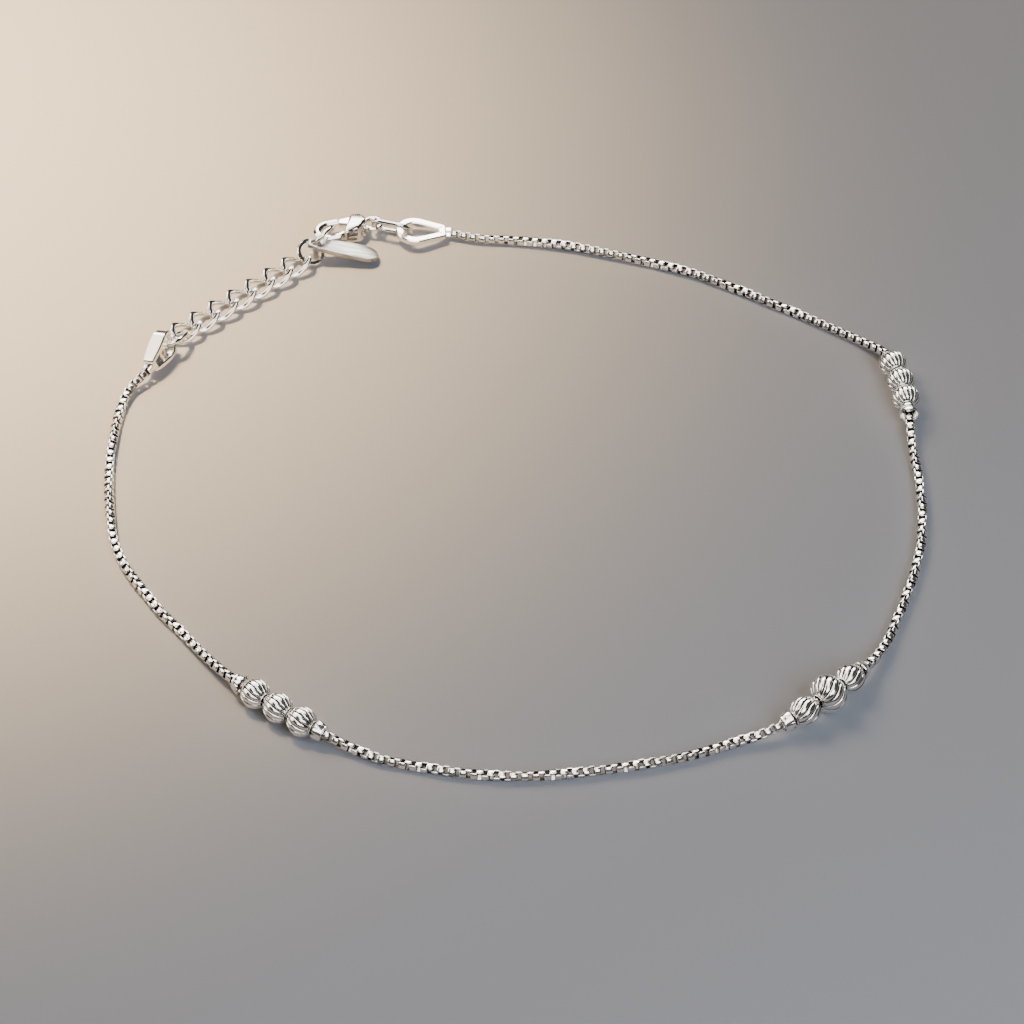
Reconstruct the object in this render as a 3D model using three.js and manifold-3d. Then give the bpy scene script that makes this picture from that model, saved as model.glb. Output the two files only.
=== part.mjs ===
// Silver box-chain anklet with three groups of fluted beads, a curb-link extender,
// a lobster clasp and a plain end tag, lying closed on a flat surface.
// Millimetres, +Z up. The origin is the middle of the loop, on the surface.
import * as THREE from "three";
import { mergeVertices } from "three/addons/utils/BufferGeometryUtils.js";
import Module from "manifold-3d";

const wasm = await Module();
wasm.setup();

// Driving sizes
const CHAIN_SIDE = 0.9;
const CHAIN_SIDES = 8;
// The chain is two nodes that meet inside the big bead, this far from its left end.
const CHAIN_SPLIT = 114.4;
const CHAIN_SPLIT_GAP = 0.3;
const PIECE_GAP = 0.2;
const BORE = 1.4;
const ROUND_SIDES = 16;

// The way of the chain, from the left connector round the front to the right connector.
// Each row is a point of the chain's middle: x, y and height.
const CHAIN_ROUTE = [
  [-39.35, 15.75, 1.15],
  [-40.9, 13.6, 0.6],
  [-42.1, 4.9, 0.45],
  [-41.2, -7.2, 0.45],
  [-40.2, -11.0, 0.45],
  [-36.5, -17.7, 0.45],
  [-32.1, -23.6, 0.5],
  [-29.9, -26.6, 0.8],
  [-27.5, -29.6, 1.3],
  [-25.1, -31.9, 1.5],
  [-22.7, -33.9, 1.5],
  [-20.2, -35.8, 1.5],
  [-15.3, -38.5, 0.7],
  [-12.3, -39.7, 0.45],
  [-3.2, -41.6, 0.45],
  [3.0, -41.7, 0.45],
  [15.4, -39.6, 0.45],
  [21.6, -37.4, 0.5],
  [24.6, -36.5, 0.95],
  [28.6, -34.3, 1.8],
  [30.6, -32.5, 2.05],
  [32.7, -30.4, 1.8],
  [36.0, -26.1, 0.9],
  [37.6, -22.6, 0.5],
  [41.3, -11.3, 0.45],
  [42.2, -3.3, 0.45],
  [41.9, 4.8, 0.6],
  [41.8, 8.6, 1.3],
  [41.6, 11.6, 1.5],
  [41.2, 14.5, 1.5],
  [40.5, 17.3, 1.55],
  [39.8, 19.1, 1.3],
  [38.3, 21.0, 0.75],
  [36.0, 23.0, 0.45],
  [25.3, 30.1, 0.45],
  [19.5, 33.4, 0.45],
  [6.5, 37.9, 0.45],
  [-0.1, 39.0, 0.45],
  [-3.5, 39.3, 0.45],
  [-6.4, 39.94, 0.5],
];

// Beads and caps: round profile, widest diameter, length along the chain.
const SHAPES = {
  bead: { form: "bead", width: 3.0, length: 2.8, lobes: 8, depth: 0.07, twist: 40 },
  closeBead: { form: "bead", width: 3.0, length: 2.55, lobes: 8, depth: 0.07, twist: 40 },
  bigBead: { form: "bead", width: 4.0, length: 3.2, lobes: 8, depth: 0.07, twist: 40 },
  collar: { form: "cap", wide: 2.1, narrow: 1.8, length: 1.0 },
  dome: { form: "cap", wide: 2.0, narrow: 1.6, length: 0.9 },
  bell: { form: "cap", wide: 2.3, narrow: 1.65, length: 1.1 },
};

// Groups of pieces threaded on the chain. start is how far along the chain the first one begins.
const CLUSTERS = [
  {
    start: 51.0,
    pieces: [
      ["front_left_cap_outer", "collar", false],
      ["front_left_bead_1", "bead"],
      ["front_left_bead_2", "bead"],
      ["front_left_bead_3", "bead"],
      ["front_left_cap_inner", "collar", true],
    ],
  },
  {
    start: 108.3,
    pieces: [
      ["front_right_cap_inner", "collar", false],
      ["front_right_bead_1", "bead"],
      ["front_right_big_bead", "bigBead"],
      ["front_right_bead_3", "bead"],
      ["front_right_cap_outer", "dome", true],
    ],
  },
  {
    start: 158.5,
    pieces: [
      ["right_cap", "bell", true],
      ["right_bead_3", "closeBead"],
      ["right_bead_2", "closeBead"],
      ["right_bead_1", "closeBead"],
    ],
  },
];

// Teardrop connectors: a band on edge, broad at one end and narrow where the chain is soldered.
// bandMiddle is the band's height half way along its legs, bandEnd at both ends.
const CONNECTORS = [
  {
    name: "connector_left",
    length: 5.0,
    broad: 3.3,
    narrow: 1.8,
    thickness: 0.55,
    bandMiddle: 1.7,
    bandEnd: 1.1,
    origin: [-38.85, 16.6, 1.33],
    heading: 66,
    pitch: 8,
    roll: 76,
  },
  {
    name: "connector_right",
    length: 5.6,
    broad: 4.2,
    narrow: 2.1,
    thickness: 0.85,
    bandMiddle: 0.7,
    bandEnd: 0.7,
    origin: [-7.5, 40.05, 0.7],
    heading: 184,
    pitch: 5,
    roll: 0,
  },
];
const SOLDER_LINK = 1.0;
const SOLDER_STRIP = 0.25;

// Extender: curb links one behind another on a straight line, twisted so that they lie flat.
const CURB = { length: 3.98, width: 3.0, wire: 0.6, twist: -45 };
const CURB_COUNT = 7;
const CURB_PITCH = 2.66;
const CURB_HEIGHT = 0.8;
const EXTENDER_START = [-35.4, 23.3];
const EXTENDER_HEADING = 44.2;
const FIRST_LINK = { length: 4.1, width: 3.1, wire: 0.6, twist: 0 };
const FIRST_LINK_AT = [-36.62, 21.31, 1.2];
const FIRST_LINK_TURN = [27.4, 163, -106.7];

// Rings at the end of the extender
const LAST_RING = { length: 3.2, width: 3.2, wire: 0.5, twist: 0 };
const LAST_RING_AT = [-22.41, 36.17, 1.05];
const LAST_RING_TURN = [-18.8, 27.5, -87.4];
const END_RING = { length: 3.8, width: 3.8, wire: 0.56, twist: 0 };
const END_RING_AT = [-21.16, 37.96, 1.66];
const END_RING_TURN = [33.8, -53.6, -55.8];

// Tag: a plain paddle with a hole at its narrow end.
const TAG = { length: 7.1, tip: 1.3, root: 0.9, hole: 0.5, thickness: 0.5, bevel: 0.08 };
const TAG_HOLE_AT = [-21.88, 36.44, 1.98];
const TAG_END_AT = [-15.2, 36.2, 0.49];

// Clasp: x runs from the middle of its eyelet to the claw, the spine is at +y, the lever at -y.
const CLASP_AT = [-15.68, 41.02, 1.15];
const CLASP_HEADING = 195.7;
const EYELET = { radius: 1.15, hole: 0.72, thickness: 0.5 };
const CLASP_BODY_THICKNESS = 2.3;
const CLAW = { centre: 4.88, rx: 1.87, ry: 1.62, wall: 0.72, thickness: 0.8 };
const PIVOT = [1.75, -0.45];
const PIN_RADIUS = 0.2;
const LEVER_BORE = 0.3;
const SLOT = 1.0;
const LEVER_THICKNESS = 0.8;
const LEVER_REACH = 1.97;

// Link between the clasp and the right connector
const CLASP_LINK = { length: 4.8, width: 2.9, wire: 0.6, twist: 0 };
const CLASP_LINK_AT = [-13.53, 40.26, 1.25];
const CLASP_LINK_TURN = [-60.4, -1.6, -18.6];

const silver = { color: 0xd8d6d2, metalness: 1, roughness: 0.18 };
const POLISHED = new THREE.MeshStandardMaterial({ ...silver, name: "polished_silver" });
const BEAD_CUT = new THREE.MeshStandardMaterial({
  ...silver,
  name: "cut_silver",
  color: 0xcbc8c3,
  roughness: 0.25,
});
const BRUSHED = new THREE.MeshStandardMaterial({
  ...silver,
  name: "brushed_silver",
  color: 0xc4c1bc,
  roughness: 0.42,
});

const degrees = THREE.MathUtils.degToRad;
const vector = (row) => new THREE.Vector3(...row);

// A geometry as a solid for cutting and joining.
function solid(geometry) {
  const plain = geometry.clone();
  plain.deleteAttribute("normal");
  plain.deleteAttribute("uv");
  const merged = mergeVertices(plain, 1e-4);
  return new wasm.Manifold(
    new wasm.Mesh({
      numProp: 3,
      vertProperties: merged.attributes.position.array,
      triVerts: new Uint32Array(merged.index.array),
    }),
  );
}

function geometryOf(body) {
  const shape = body.getMesh();
  const geometry = new THREE.BufferGeometry();
  geometry.setAttribute("position", new THREE.BufferAttribute(shape.vertProperties, 3));
  geometry.setIndex(new THREE.BufferAttribute(shape.triVerts, 1));
  geometry.computeVertexNormals();
  return geometry;
}

function piece(name, geometry, material) {
  const mesh = new THREE.Mesh(geometry, material);
  mesh.name = name;
  return mesh;
}

// Turns a mesh so that its x runs along one direction and its z is as near up as it can be.
function aim(mesh, along, up, at) {
  const x = along.clone().normalize();
  const y = new THREE.Vector3().crossVectors(up, x).normalize();
  const z = new THREE.Vector3().crossVectors(x, y);
  mesh.quaternion.setFromRotationMatrix(new THREE.Matrix4().makeBasis(x, y, z));
  mesh.position.copy(at);
  return mesh;
}

// A flat outline made into a plate, centred on its own plane.
function plate(shape, thickness, bevel = 0, curveSegments = 12) {
  const geometry = new THREE.ExtrudeGeometry(shape, {
    depth: thickness - 2 * bevel,
    bevelEnabled: bevel > 0,
    bevelThickness: bevel,
    bevelSize: bevel,
    bevelOffset: -bevel,
    bevelSegments: 1,
    curveSegments,
  });
  return geometry.translate(0, 0, -thickness / 2 + bevel);
}

function polygon(points) {
  return new THREE.Shape(points.map(([x, y]) => new THREE.Vector2(x, y)));
}

// One stretch of a longer curve, from one distance along it to another.
class Stretch extends THREE.Curve {
  constructor(path, from, to) {
    super();
    this.path = path;
    this.from = from / path.getLength();
    this.to = to / path.getLength();
  }

  getPoint(t, target = new THREE.Vector3()) {
    return this.path.getPointAt(this.from + (this.to - this.from) * t, target);
  }
}

// A plain tube of the chain's own width, which stands for its box links.
function chainTube(name, path, from, to) {
  const section = polygon(
    Array.from({ length: CHAIN_SIDES }, (_, i) => {
      const angle = ((i + 0.5) * 2 * Math.PI) / CHAIN_SIDES;
      return [(CHAIN_SIDE / 2) * Math.cos(angle), (CHAIN_SIDE / 2) * Math.sin(angle)];
    }),
  );
  const steps = Math.ceil((to - from) / (3 * CHAIN_SIDE));
  const extrudePath = new Stretch(path, from, to);
  return piece(
    name,
    new THREE.ExtrudeGeometry(section, { steps, extrudePath, bevelEnabled: false }),
    POLISHED,
  );
}

// Profile of a bead from its bore round the outside and back, as radius and place along the axis.
function beadProfile({ width, length }) {
  const half = length / 2;
  const bore = BORE / 2;
  const rim = bore + 0.12;
  const rise = Math.acos(rim / (width / 2));
  const rows = 8;
  const points = [new THREE.Vector2(bore, -half)];
  for (let i = 0; i <= rows; i++) {
    const angle = -rise + (2 * rise * i) / rows;
    const along = (half * Math.sin(angle)) / Math.sin(rise);
    points.push(new THREE.Vector2((width / 2) * Math.cos(angle), along));
  }
  points.push(new THREE.Vector2(bore, half));
  points.push(new THREE.Vector2(bore, -half));
  return points;
}

// Cuts the bead's flutes: its outside is drawn in between the lobes, and they sweep round it.
function flute(geometry, { width, length, lobes, depth, twist }) {
  const place = geometry.attributes.position;
  const bore = BORE / 2;
  for (let i = 0; i < place.count; i++) {
    const x = place.getX(i);
    const y = place.getY(i);
    const z = place.getZ(i);
    const radius = Math.hypot(x, z);
    const angle = Math.atan2(z, x);
    const outside = Math.max(0, (radius - bore) / (width / 2 - bore));
    const groove = 0.5 - 0.5 * Math.cos(lobes * angle);
    const drawn = radius * (1 - depth * outside * groove);
    const turned = angle + (degrees(twist) * 2 * y) / length;
    place.setXYZ(i, drawn * Math.cos(turned), y, drawn * Math.sin(turned));
  }
  return geometry;
}

function capProfile({ wide, narrow, length }) {
  const half = length / 2;
  const bore = BORE / 2;
  const rows = [
    [bore, -half],
    [narrow / 2, -half],
    [narrow / 2 + 0.05, -half + 0.15],
    [(wide + narrow) / 4, 0],
    [wide / 2, half - 0.2],
    [wide / 2 - 0.08, half],
    [bore, half],
    [bore, -half],
  ];
  return rows.map(([radius, along]) => new THREE.Vector2(radius, along));
}

// Lathed round the chain's axis, which is the mesh's own x.
function threaded(shape) {
  const isBead = shape.form === "bead";
  const profile = isBead ? beadProfile(shape) : capProfile(shape);
  let geometry = new THREE.LatheGeometry(profile, ROUND_SIDES);
  if (isBead) geometry = flute(geometry, shape);
  return geometry.rotateZ(-Math.PI / 2);
}

function threadCluster(group, path, { start, pieces }) {
  const whole = path.getLength();
  let reached = start;
  for (const [name, kind, reversed] of pieces) {
    const shape = SHAPES[kind];
    const middle = (reached + shape.length / 2) / whole;
    const mesh = piece(name, threaded(shape), shape.form === "bead" ? BEAD_CUT : POLISHED);
    const along = path.getTangentAt(middle);
    if (reversed) along.negate();
    aim(mesh, along, new THREE.Vector3(0, 0, 1), path.getPointAt(middle));
    group.add(mesh);
    reached += shape.length + PIECE_GAP;
  }
}

// A link of round wire: two half circles pulled apart, and twisted about its own length.
function linkGeometry({ length, width, wire, twist }) {
  const radius = (width - wire) / 2;
  const pull = (length - width) / 2;
  const geometry = new THREE.TorusGeometry(radius, wire / 2, 6, 16);
  const place = geometry.attributes.position;
  const reach = radius + pull;
  for (let i = 0; i < place.count; i++) {
    const side = place.getX(i) >= 0 ? 1 : -1;
    const x = place.getX(i) + side * pull;
    const y = place.getY(i);
    const z = place.getZ(i);
    const turn = (degrees(twist) * x) / reach;
    place.setXYZ(
      i,
      x,
      y * Math.cos(turn) - z * Math.sin(turn),
      y * Math.sin(turn) + z * Math.cos(turn),
    );
  }
  return geometry;
}

// A closed teardrop outline: a round broad end at the right, a short flat side at the left.
function teardrop(outline, { left, right, broad, narrow, corner }) {
  const big = { x: right - broad / 2, y: 0, r: broad / 2 };
  const small = { x: left + corner, y: narrow / 2 - corner, r: corner };
  const dx = big.x - small.x;
  const dy = big.y - small.y;
  const normal = Math.atan2(dy, dx) + Math.acos((small.r - big.r) / Math.hypot(dx, dy));
  outline.moveTo(left, -small.y);
  outline.absarc(small.x, -small.y, small.r, Math.PI, 2 * Math.PI - normal, false);
  outline.absarc(big.x, 0, big.r, -normal, normal, false);
  outline.absarc(small.x, small.y, small.r, normal, Math.PI, false);
  outline.closePath();
  return outline;
}

// The band's side view, higher half way along its legs than at its ends.
function bandSide({ length, bandMiddle, bandEnd }) {
  const side = new THREE.Shape();
  const low = -bandEnd / 2;
  const bulge = bandMiddle - bandEnd / 2;
  side.moveTo(-1, low);
  side.lineTo(0, low);
  side.quadraticCurveTo(length * 0.45, -bulge, length, low);
  side.lineTo(length, -low);
  side.quadraticCurveTo(length * 0.45, bulge, 0, -low);
  side.lineTo(-1, -low);
  return side;
}

// The chain's first link, soldered on the narrow end: a square ring on edge.
function solderLink() {
  const half = SOLDER_LINK / 2;
  const outer = polygon([
    [-half, -half],
    [half, -half],
    [half, half],
    [-half, half],
  ]);
  const inside = half - SOLDER_STRIP;
  outer.holes.push(
    polygon([
      [-inside, -inside],
      [inside, -inside],
      [inside, inside],
      [-inside, inside],
    ]),
  );
  return plate(outer, SOLDER_LINK * 0.6).rotateX(Math.PI / 2);
}

function connector(row) {
  const { length, broad, narrow, thickness } = row;
  const outline = teardrop(new THREE.Shape(), {
    left: 0,
    right: length,
    broad,
    narrow,
    corner: 0.45,
  });
  outline.holes.push(
    teardrop(new THREE.Path(), {
      left: thickness,
      right: length - thickness,
      broad: broad - 2 * thickness,
      narrow: narrow - 2 * thickness,
      corner: 0.2,
    }),
  );
  const band = solid(plate(outline, row.bandMiddle, 0, 8));
  const side = plate(bandSide(row), 2 * broad, 0, 6).rotateX(Math.PI / 2);
  const shaped = row.bandMiddle > row.bandEnd ? band.intersect(solid(side)) : band;
  const soldered = solid(solderLink().translate(-SOLDER_LINK / 2 + 0.2, 0, 0));
  const mesh = piece(row.name, geometryOf(shaped.add(soldered)), POLISHED);
  mesh.rotation.set(degrees(row.roll), -degrees(row.pitch), degrees(row.heading), "ZYX");
  mesh.position.set(...row.origin);
  return mesh;
}

function extender() {
  const group = new THREE.Group();
  const heading = degrees(EXTENDER_HEADING);
  const along = new THREE.Vector3(Math.cos(heading), Math.sin(heading), 0);
  const up = new THREE.Vector3(0, 0, 1);
  for (let i = 0; i < CURB_COUNT; i++) {
    const at = new THREE.Vector3(...EXTENDER_START, CURB_HEIGHT);
    at.addScaledVector(along, i * CURB_PITCH);
    const link = piece(`extender_link_${i + 2}`, linkGeometry(CURB), POLISHED);
    group.add(aim(link, along, up, at));
  }
  return group;
}

// A single link or ring. It is turned about its own y, then x, then z.
function singleLink(name, size, at, [x, y, z]) {
  const mesh = piece(name, linkGeometry(size), POLISHED);
  mesh.rotation.set(degrees(x), degrees(y), degrees(z), "ZXY");
  mesh.position.set(...at);
  return mesh;
}

function tag() {
  const { length, tip, root, hole } = TAG;
  const outline = new THREE.Shape();
  outline.moveTo(-root + 0.1, -root * 0.6);
  outline.lineTo(0.5, -root);
  outline.lineTo(length - tip, -tip);
  outline.absarc(length - tip, 0, tip, -Math.PI / 2, Math.PI / 2, false);
  outline.lineTo(0.5, root);
  outline.lineTo(-root + 0.1, root * 0.6);
  outline.closePath();
  const eye = new THREE.Path();
  eye.absarc(0, 0, hole, 0, 2 * Math.PI, false);
  outline.holes.push(eye);
  const mesh = piece("tag", plate(outline, TAG.thickness, TAG.bevel, 10), BRUSHED);
  const along = vector(TAG_END_AT).sub(vector(TAG_HOLE_AT));
  return aim(mesh, along, new THREE.Vector3(0, 0, 1), vector(TAG_HOLE_AT));
}

function eyelet() {
  const outline = new THREE.Shape();
  outline.absarc(0, 0, EYELET.radius, 0, 2 * Math.PI, false);
  const hole = new THREE.Path();
  hole.absarc(0, 0, EYELET.hole, 0, 2 * Math.PI, false);
  outline.holes.push(hole);
  return plate(outline, EYELET.thickness, 0.1, 8);
}

// The claw: a spine arm, a round hook and a short arm that ends before the lever.
function claw() {
  const { centre, rx, ry, wall, thickness } = CLAW;
  const outline = new THREE.Shape();
  outline.moveTo(2.2, ry);
  outline.lineTo(2.2, ry - wall);
  outline.lineTo(centre, ry - wall);
  outline.absellipse(centre, 0, rx - wall, ry - wall, Math.PI / 2, -Math.PI / 2, true);
  outline.lineTo(3.82, -ry + wall);
  outline.lineTo(3.7, -ry + 0.1);
  outline.lineTo(centre, -ry);
  outline.absellipse(centre, 0, rx, ry, -Math.PI / 2, Math.PI / 2, false);
  outline.closePath();
  return plate(outline, thickness, 0.1, 8);
}

function claspBody() {
  const block = polygon([
    [0.75, -0.55],
    [1.15, -1.2],
    [2.2, -1.35],
    [2.55, -0.6],
    [3.3, 0.75],
    [3.5, 1.62],
    [1.9, 1.7],
    [1.1, 1.15],
    [0.75, 0.55],
  ]);
  const slotOutline = polygon([
    [1.12, -3],
    [4.5, -3],
    [4.5, 0.3],
    [1.3, 0.3],
    [1.12, 0],
  ]);
  const pin = new THREE.CylinderGeometry(PIN_RADIUS, PIN_RADIUS, SLOT + 0.6, 12)
    .rotateX(Math.PI / 2)
    .translate(PIVOT[0], PIVOT[1], 0);
  const body = solid(plate(block, CLASP_BODY_THICKNESS, 0.25))
    .subtract(solid(plate(slotOutline, SLOT)))
    .add(solid(pin))
    .add(solid(eyelet()))
    .add(solid(claw()));
  return piece("clasp_body", geometryOf(body), BRUSHED);
}

function claspLever() {
  const [px, py] = PIVOT;
  const tipFrom = degrees(-27);
  const tipTo = degrees(-9);
  const outline = new THREE.Shape();
  outline.moveTo(px + LEVER_REACH * Math.cos(tipFrom), py + LEVER_REACH * Math.sin(tipFrom));
  outline.absarc(px, py, LEVER_REACH, tipFrom, tipTo, false);
  outline.lineTo(px + 0.45, py + 0.35);
  outline.absarc(px, py, 0.5, degrees(60), degrees(190), false);
  outline.lineTo(1.28, -1.55);
  outline.lineTo(1.6, -1.75);
  outline.lineTo(2.15, -1.45);
  outline.closePath();
  const bore = new THREE.Path();
  bore.absarc(px, py, LEVER_BORE, 0, 2 * Math.PI, false);
  outline.holes.push(bore);
  return piece("clasp_lever", plate(outline, LEVER_THICKNESS, 0, 8), POLISHED);
}

function clasp() {
  const group = new THREE.Group();
  group.add(claspBody(), claspLever());
  group.rotation.z = degrees(CLASP_HEADING);
  group.position.set(...CLASP_AT);
  return group;
}

function anklet() {
  const group = new THREE.Group();
  const path = new THREE.CatmullRomCurve3(CHAIN_ROUTE.map(vector), false, "centripetal");
  path.arcLengthDivisions = 2000;
  const split = [CHAIN_SPLIT - CHAIN_SPLIT_GAP / 2, CHAIN_SPLIT + CHAIN_SPLIT_GAP / 2];
  group.add(chainTube("box_chain_front", path, 0, split[0]));
  group.add(chainTube("box_chain_back", path, split[1], path.getLength()));
  for (const cluster of CLUSTERS) threadCluster(group, path, cluster);
  for (const row of CONNECTORS) group.add(connector(row));
  group.add(singleLink("extender_link_1", FIRST_LINK, FIRST_LINK_AT, FIRST_LINK_TURN));
  group.add(extender());
  group.add(singleLink("extender_end_link", LAST_RING, LAST_RING_AT, LAST_RING_TURN));
  group.add(singleLink("end_ring", END_RING, END_RING_AT, END_RING_TURN));
  group.add(tag(), clasp());
  group.add(singleLink("clasp_link", CLASP_LINK, CLASP_LINK_AT, CLASP_LINK_TURN));
  return group;
}

export default anklet();
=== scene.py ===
"""Silver box-chain anklet lying closed on a pale surface.

Metres, +Z up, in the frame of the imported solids. Shapes are made in millimetres about
their own middle, and piece() puts each one where its solid lies.
"""

import math

import bmesh
import bpy
from mathutils import Matrix, Vector


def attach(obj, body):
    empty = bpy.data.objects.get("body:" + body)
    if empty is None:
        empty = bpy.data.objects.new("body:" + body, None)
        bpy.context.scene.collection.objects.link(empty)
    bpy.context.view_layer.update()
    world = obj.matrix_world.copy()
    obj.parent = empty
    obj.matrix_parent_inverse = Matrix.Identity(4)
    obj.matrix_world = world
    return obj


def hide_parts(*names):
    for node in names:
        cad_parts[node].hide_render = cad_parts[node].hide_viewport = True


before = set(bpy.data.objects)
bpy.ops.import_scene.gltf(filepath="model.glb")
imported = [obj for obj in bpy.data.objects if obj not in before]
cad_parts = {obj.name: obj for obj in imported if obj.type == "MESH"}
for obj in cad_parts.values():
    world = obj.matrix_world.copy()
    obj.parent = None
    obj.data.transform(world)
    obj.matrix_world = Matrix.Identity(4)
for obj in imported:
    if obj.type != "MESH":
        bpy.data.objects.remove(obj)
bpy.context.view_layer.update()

MM = 0.001
BODY = "anklet_body"
LEVER_BODY = "lever"
UP = Vector((0, 0, 1))

# Camera: where it stands, how far it is tipped up from looking straight down, and its lens.
CAMERA_AT = (-0.1, -281.3, 262.6)
CAMERA_TILT = 46.5
CAMERA_LENS = 130.08
CAMERA_SENSOR = 36
FLOOR_HEIGHT = -0.155
FLOOR_REACH = 3.0

# Way of the chain's middle: x, y and height.
CHAIN_ROUTE = [
    (-39.35, 15.75, 1.15),
    (-40.9, 13.6, 0.6),
    (-42.1, 4.9, 0.45),
    (-41.2, -7.2, 0.45),
    (-40.2, -11.0, 0.45),
    (-36.5, -17.7, 0.45),
    (-32.1, -23.6, 0.5),
    (-29.9, -26.6, 0.8),
    (-27.5, -29.6, 1.3),
    (-25.1, -31.9, 1.5),
    (-22.7, -33.9, 1.5),
    (-20.2, -35.8, 1.5),
    (-15.3, -38.5, 0.7),
    (-12.3, -39.7, 0.45),
    (-3.2, -41.6, 0.45),
    (3.0, -41.7, 0.45),
    (15.4, -39.6, 0.45),
    (21.6, -37.4, 0.5),
    (24.6, -36.5, 0.95),
    (28.6, -34.3, 1.8),
    (30.6, -32.5, 2.05),
    (32.7, -30.4, 1.8),
    (36.0, -26.1, 0.9),
    (37.6, -22.6, 0.5),
    (41.3, -11.3, 0.45),
    (42.2, -3.3, 0.45),
    (41.9, 4.8, 0.6),
    (41.8, 8.6, 1.3),
    (41.6, 11.6, 1.5),
    (41.2, 14.5, 1.5),
    (40.5, 17.3, 1.55),
    (39.8, 19.1, 1.3),
    (38.3, 21.0, 0.75),
    (36.0, 23.0, 0.45),
    (25.3, 30.1, 0.45),
    (19.5, 33.4, 0.45),
    (6.5, 37.9, 0.45),
    (-0.1, 39.0, 0.45),
    (-3.5, 39.3, 0.45),
    (-6.4, 39.94, 0.5),
]
CHAIN_SPLIT = 114.4

# Box link: a ring bent square from flat strip, shorter along the chain than across it.
# The next one stands across it.
BOX_LENGTH = 0.76
BOX_SIDE = 0.93
BOX_STRIP = 0.115
BOX_WIDTH = 0.64
BOX_CORNER = 0.16
BOX_CHAMFER = 0.035
BOX_PITCH = 0.54
BOX_FIRST = -0.2

# Places along the chain where it shows the camera a flat side, read off the photograph. It
# makes a quarter turn from each to the next.
FLAT_SIDES = [
    1.3, 12.9, 28.2, 36.7, 42.0, 62.4, 68.3, 75.4, 81.4, 89.4, 95.6, 107.4,
    124.9, 129.5, 133.1, 138.1, 143.7, 148.7, 156.1, 178.9, 185.3, 191.9, 203.8, 219.8,
]

# Beads and caps: widest diameter, length along the chain, and how they are cut.
BEAD_BORE = 1.4
SHAPES = {
    "bead": {"width": 3.0, "length": 2.8, "flutes": 14, "swirl": 9},
    "swirled_bead": {"width": 3.0, "length": 2.8, "flutes": 12, "swirl": -24},
    "close_bead": {"width": 3.0, "length": 2.55, "flutes": 15, "swirl": -8},
    "big_bead": {"width": 4.0, "length": 3.2, "flutes": 14, "swirl": -30},
    "collar": {"wide": 2.1, "narrow": 1.8, "length": 1.0, "scallops": 9, "hollow": False},
    "dome": {"wide": 2.0, "narrow": 1.6, "length": 0.9, "scallops": 0, "hollow": False},
    "bell": {"wide": 2.3, "narrow": 1.65, "length": 1.1, "scallops": 0, "hollow": True},
}
BEAD_LIP = 0.13
BEAD_LIP_LENGTH = 0.1
BEAD_LIP_ROUND = 0.04
BEAD_ROWS = 24
STEPS_PER_FLUTE = 12
# How much lower the ball is spun, to leave room for the lands' crown.
BALL_DROP = 0.03
# Grooves: share of a flute that they take, depth against the ball's radius, how steep their
# sides are, and how shallow they run out over a short way at each end.
GROOVE_SHARE = 0.48
GROOVE_DEPTH = 0.095
GROOVE_STEEPNESS = 1.5
GROOVE_RUN_OUT = 0.25
GROOVE_END_SHARE = 0.35
LAND_CROWN = 0.07
CROWN_LEVEL = 0.7
# Painted shade, partly dark tarnish in the grooves: how far it spreads up the grooves' sides, and
# how dark the painted shade is at the lip where beads meet and inside the bell.
TARNISH_AND_SHADE_SPREAD = 1.6
LIP_PAINTED_SHADE = 0.7
BELL_PAINTED_SHADE = 0.5
CAP_STEPS = 72
SCALLOP_DEPTH = 0.05
PIECE_GAP = 0.2
CLUSTERS = [
    (51.0, [
        ("front_left_cap_outer", "collar", 1),
        ("front_left_bead_1", "bead", 1),
        ("front_left_bead_2", "bead", 1),
        ("front_left_bead_3", "bead", 1),
        ("front_left_cap_inner", "collar", -1),
    ]),
    (108.3, [
        ("front_right_cap_inner", "collar", 1),
        ("front_right_bead_1", "swirled_bead", 1),
        ("front_right_big_bead", "big_bead", 1),
        ("front_right_bead_3", "swirled_bead", 1),
        ("front_right_cap_outer", "dome", -1),
    ]),
    (158.5, [
        ("right_cap", "bell", -1),
        ("right_bead_3", "close_bead", 1),
        ("right_bead_2", "close_bead", 1),
        ("right_bead_1", "close_bead", 1),
    ]),
]

# Teardrop connectors with the chain's end link soldered on.
CONNECTORS = [
    {"name": "connector_left", "length": 5.0, "broad": 3.3, "narrow": 1.8, "thickness": 0.55,
     "middle": 1.7, "end": 1.1, "at": (-38.85, 16.6, 1.33), "heading": 66, "pitch": 8,
     "roll": 76},
    {"name": "connector_right", "length": 5.6, "broad": 4.2, "narrow": 2.1, "thickness": 0.85,
     "middle": 0.7, "end": 0.7, "at": (-7.5, 40.05, 0.7), "heading": 184, "pitch": 5,
     "roll": 0},
]
CONNECTOR_CORNER = 0.45
CONNECTOR_CHAMFER = 0.12
# Where along a connector its band is broadest, as a share of its length.
BROADEST_AT = 0.475
SOLDER_LINK = 1.0
SOLDER_STRIP = 0.25
SOLDER_WIDTH = 0.6
SOLDER_CORNER = 0.18
SOLDER_CHAMFER = 0.05
SOLDER_SINK = 0.2

# Wire: how much of its thickness is left between its flat sides, and how much broader it is.
WIRE_FLAT = 0.84
WIRE_BROAD = 1.12

# Extender: curb links one behind another, twisted so that they lie flat.
CURB = {"length": 3.98, "width": 3.0, "wire": 0.6}
CURB_TWIST = -45
CURB_COUNT = 7
CURB_PITCH = 2.66
CURB_START = (-35.4, 23.3, 0.8)
CURB_HEADING = 44.2

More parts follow.
